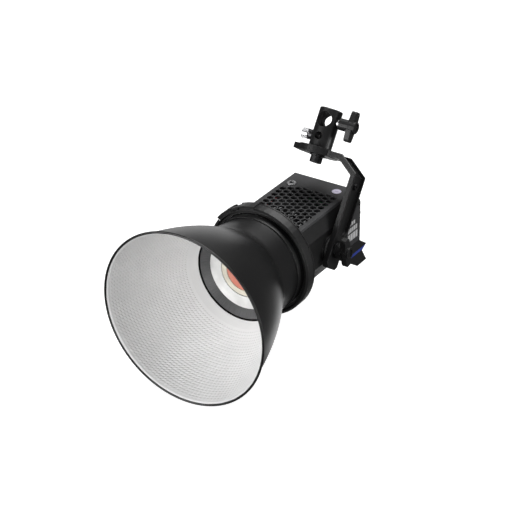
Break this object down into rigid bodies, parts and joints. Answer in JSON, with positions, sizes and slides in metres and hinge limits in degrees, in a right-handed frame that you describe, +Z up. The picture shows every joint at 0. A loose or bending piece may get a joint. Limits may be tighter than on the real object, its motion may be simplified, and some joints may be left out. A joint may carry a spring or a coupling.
{
  "type": "monolight strobe",
  "caption": "Compact studio monolight: vented box head, bayonet ring, faceted bowl reflector, and a one-armed tilting yoke with a stand socket and locking wings.",
  "frame": {"origin": "centre of the stand socket's mouth, where the light stand's spigot goes in", "axes": "+Z up, -Y the way the light shines with the head level, +X the side of the yoke's arm; the socket's axis leans back 35 degrees in the YZ plane"},
  "size_m": [0.185, 0.2844, 0.2106],
  "materials": {
    "black_plastic": "fine-grained black moulded plastic",
    "grey_plastic": "fine-grained dark grey moulded plastic",
    "black_casting": "satin black powder coat on a die casting",
    "black_steel": "black oxide",
    "bowl_aluminium": "satin black outside, bright silver facets inside",
    "bare_steel": "bright machined",
    "bare_aluminium": "plain",
    "dark_aluminium": "radially brushed dark grey",
    "white_plastic": "smooth white",
    "cream_ceramic": "smooth cream",
    "phosphor": "salmon-coloured phosphor gel",
    "circuit_board": "green solder mask",
    "blue_plastic": "satin blue",
    "display_glass": "dark tinted",
    "label_paper": "pale lavender paper",
    "lead_sleeve": "satin insulation",
    "washer_fibre": "matt friction fibre"
  },
  "bodies": {
    "yoke": {"yoke_arm": "black_casting", "arm_screw": "black_steel", "stand_socket": "black_casting", "socket_bolt": "black_steel", "socket_washer": "black_steel", "umbrella_collar": "black_steel"},
    "spigot_pad": {"spigot_pad": "bare_steel"},
    "spigot_screw": {"spigot_screw": "bare_steel", "spigot_wing": "black_plastic"},
    "umbrella_pad": {"umbrella_tip": "white_plastic"},
    "umbrella_screw": {"umbrella_screw": "bare_steel"},
    "tilt_washer": {"tilt_thrust_washer": "black_steel"},
    "tilt_lever": {"tilt_lever": "black_plastic"},
    "reflector": {"reflector_bowl": "bowl_aluminium", "bayonet_collar": "black_casting"},
    "release": {"release_slider": "black_plastic", "lock_pin": "bare_steel"},
    "fan_rotor": {"fan_rotor": "black_plastic"},
    "dimmer_knob": {"dimmer_knob": "black_plastic"},
    "colour_knob": {"colour_knob": "black_plastic"},
    "mode_button_1": {"mode_button_1": "grey_plastic"},
    "mode_button_2": {"mode_button_2": "grey_plastic"},
    "mode_button_3": {"mode_button_3": "grey_plastic"},
    "power_rocker": {"power_rocker": "black_plastic"},
    "head": {"friction_washer": "washer_fibre", "tilt_bolt": "bare_steel", "side_shell_right": "black_plastic", "side_shell_left": "black_plastic", "top_cover": "grey_plastic", "bottom_cover": "black_plastic", "threaded_insert": "bare_steel", "inspection_sticker": "label_paper", "control_housing": "black_plastic", "side_plate": "grey_plastic", "accent_stripe": "blue_plastic", "rear_panel": "black_plastic", "display_window": "display_glass", "display_module": "black_plastic", "power_inlet": "black_plastic", "mount_ring": "black_plastic", "alignment_dot": "white_plastic", "bayonet_plate": "bare_steel", "bayonet_screw_1": "bare_steel", "bayonet_screw_2": "bare_steel", "bayonet_screw_3": "bare_steel", "front_bulkhead": "dark_aluminium", "nose_cone": "dark_aluminium", "retaining_ring": "white_plastic", "led_holder": "cream_ceramic", "led_emitter": "phosphor", "led_substrate": "bare_aluminium", "heat_column": "bare_aluminium", "heatsink": "bare_aluminium", "fan_frame": "black_plastic", "driver_board": "circuit_board", "control_board": "circuit_board", "led_lead_positive": "lead_sleeve", "led_lead_negative": "lead_sleeve"}
  },
  "joints": [
    {"name": "head_tilt", "type": "hinge", "parent": "yoke", "child": "head", "pos_m": [0, -0.07812, -0.11157], "axis": [1, 0, 0], "range_deg": [-65, 60]},
    {"name": "tilt_washer_slide", "type": "slide", "parent": "head", "child": "tilt_washer", "axis": [1, 0, 0], "range_m": [0, 0.000625]},
    {"name": "tilt_lever_turn", "type": "hinge", "parent": "tilt_washer", "child": "tilt_lever", "pos_m": [0.0549, -0.07812, -0.11157], "axis": [1, 0, 0], "range_deg": [0, 181]},
    {"name": "spigot_pad_slide", "type": "slide", "parent": "yoke", "child": "spigot_pad", "axis": [-1, 0, 0], "range_m": [0, 0.002]},
    {"name": "spigot_screw_turn", "type": "hinge", "parent": "spigot_pad", "child": "spigot_screw", "pos_m": [0.0146, -0.007, -0.00999], "axis": [-1, 0, 0], "range_deg": [0, 482]},
    {"name": "umbrella_pad_slide", "type": "slide", "parent": "yoke", "child": "umbrella_pad", "axis": [1, 0, 0], "range_m": [0, 0.0016]},
    {"name": "umbrella_screw_turn", "type": "hinge", "parent": "umbrella_pad", "child": "umbrella_screw", "pos_m": [-0.0063, -0.01732, -0.02474], "axis": [1, 0, 0], "range_deg": [0, 723]},
    {"name": "reflector_twist", "type": "hinge", "parent": "head", "child": "reflector", "pos_m": [0, -0.12872, -0.11157], "axis": [0, -1, 0], "range_deg": [0, 26]},
    {"name": "release_slide", "type": "slide", "parent": "head", "child": "release", "axis": [0, 1, 0], "range_m": [0, 0.00401]},
    {"name": "fan_spin", "type": "hinge", "parent": "head", "child": "fan_rotor", "pos_m": [0, -0.07452, -0.11157], "axis": [0, 1, 0], "continuous": true},
    {"name": "dimmer_turn", "type": "hinge", "parent": "head", "child": "dimmer_knob", "pos_m": [0.0145, -0.01222, -0.10807], "axis": [0, 1, 0], "continuous": true},
    {"name": "colour_turn", "type": "hinge", "parent": "head", "child": "colour_knob", "pos_m": [0.031, -0.01222, -0.10807], "axis": [0, 1, 0], "continuous": true},
    {"name": "mode_button_1_press", "type": "slide", "parent": "head", "child": "mode_button_1", "axis": [0, -1, 0], "range_m": [0, 0.0008], "stiffness_N_per_m": 1200, "springref_m": -0.0002},
    {"name": "mode_button_2_press", "type": "slide", "parent": "head", "child": "mode_button_2", "axis": [0, -1, 0], "range_m": [0, 0.0008], "stiffness_N_per_m": 1200, "springref_m": -0.0002},
    {"name": "mode_button_3_press", "type": "slide", "parent": "head", "child": "mode_button_3", "axis": [0, -1, 0], "range_m": [0, 0.0008], "stiffness_N_per_m": 1200, "springref_m": -0.0002},
    {"name": "power_rocker_tilt", "type": "hinge", "parent": "head", "child": "power_rocker", "pos_m": [-0.0422, -0.03072, -0.10537], "axis": [0, 1, 0], "range_deg": [0, 14]}
  ],
  "couplings": [
    {"joint": "tilt_lever_turn", "follows": "tilt_washer_slide", "rad_per_m": 5026.5},
    {"joint": "spigot_screw_turn", "follows": "spigot_pad_slide", "rad_per_m": 4188.8},
    {"joint": "umbrella_screw_turn", "follows": "umbrella_pad_slide", "rad_per_m": 7854},
    {"joint": "release_slide", "follows": "reflector_twist", "m_per_rad": 0.0088147}
  ]
}
